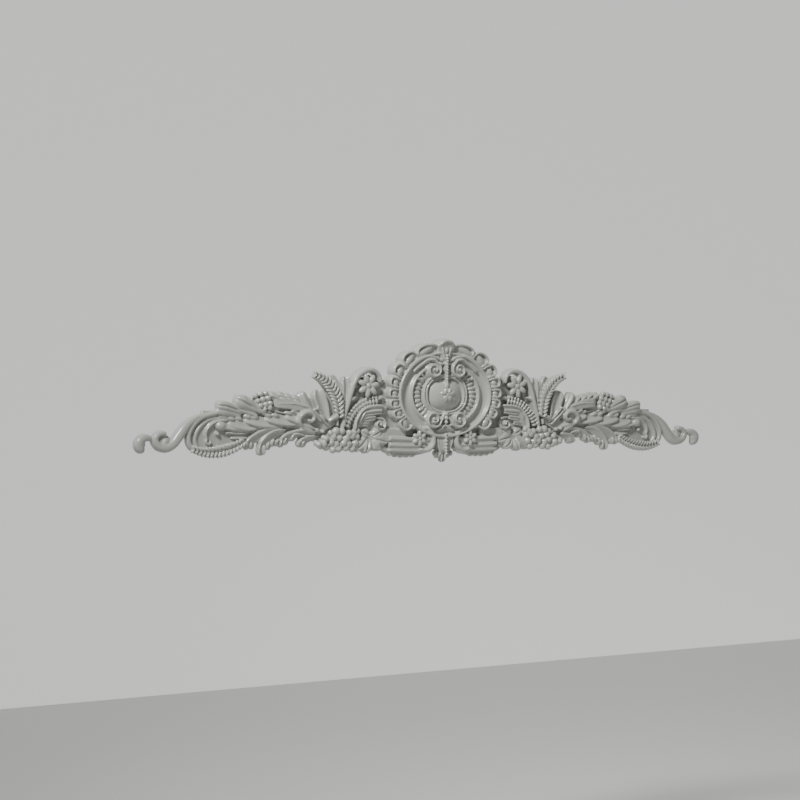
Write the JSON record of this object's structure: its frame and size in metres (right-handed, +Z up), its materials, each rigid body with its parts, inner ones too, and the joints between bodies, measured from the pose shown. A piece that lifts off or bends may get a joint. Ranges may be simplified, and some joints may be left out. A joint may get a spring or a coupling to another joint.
{
  "type": "scroll onlay",
  "caption": "Wide symmetric cast relief onlay: an oval shell-edged cartouche between leaf wings with grapes, wheat and scrolled ends, flat on the back for gluing to a wall or panel.",
  "frame": {"origin": "on the flat wall face at the back, at the centre line of the ornament and at half its height", "axes": "+X along the length, +Y out of the back into the wall, +Z up; the carving faces -Y"},
  "size_m": [1.1112, 0.029, 0.211],
  "materials": {
    "paint": "satin warm pale grey paint over a moulded rigid foam casting"
  },
  "bodies": {
    "root": {"scroll_onlay": "paint"}
  },
  "joints": []
}
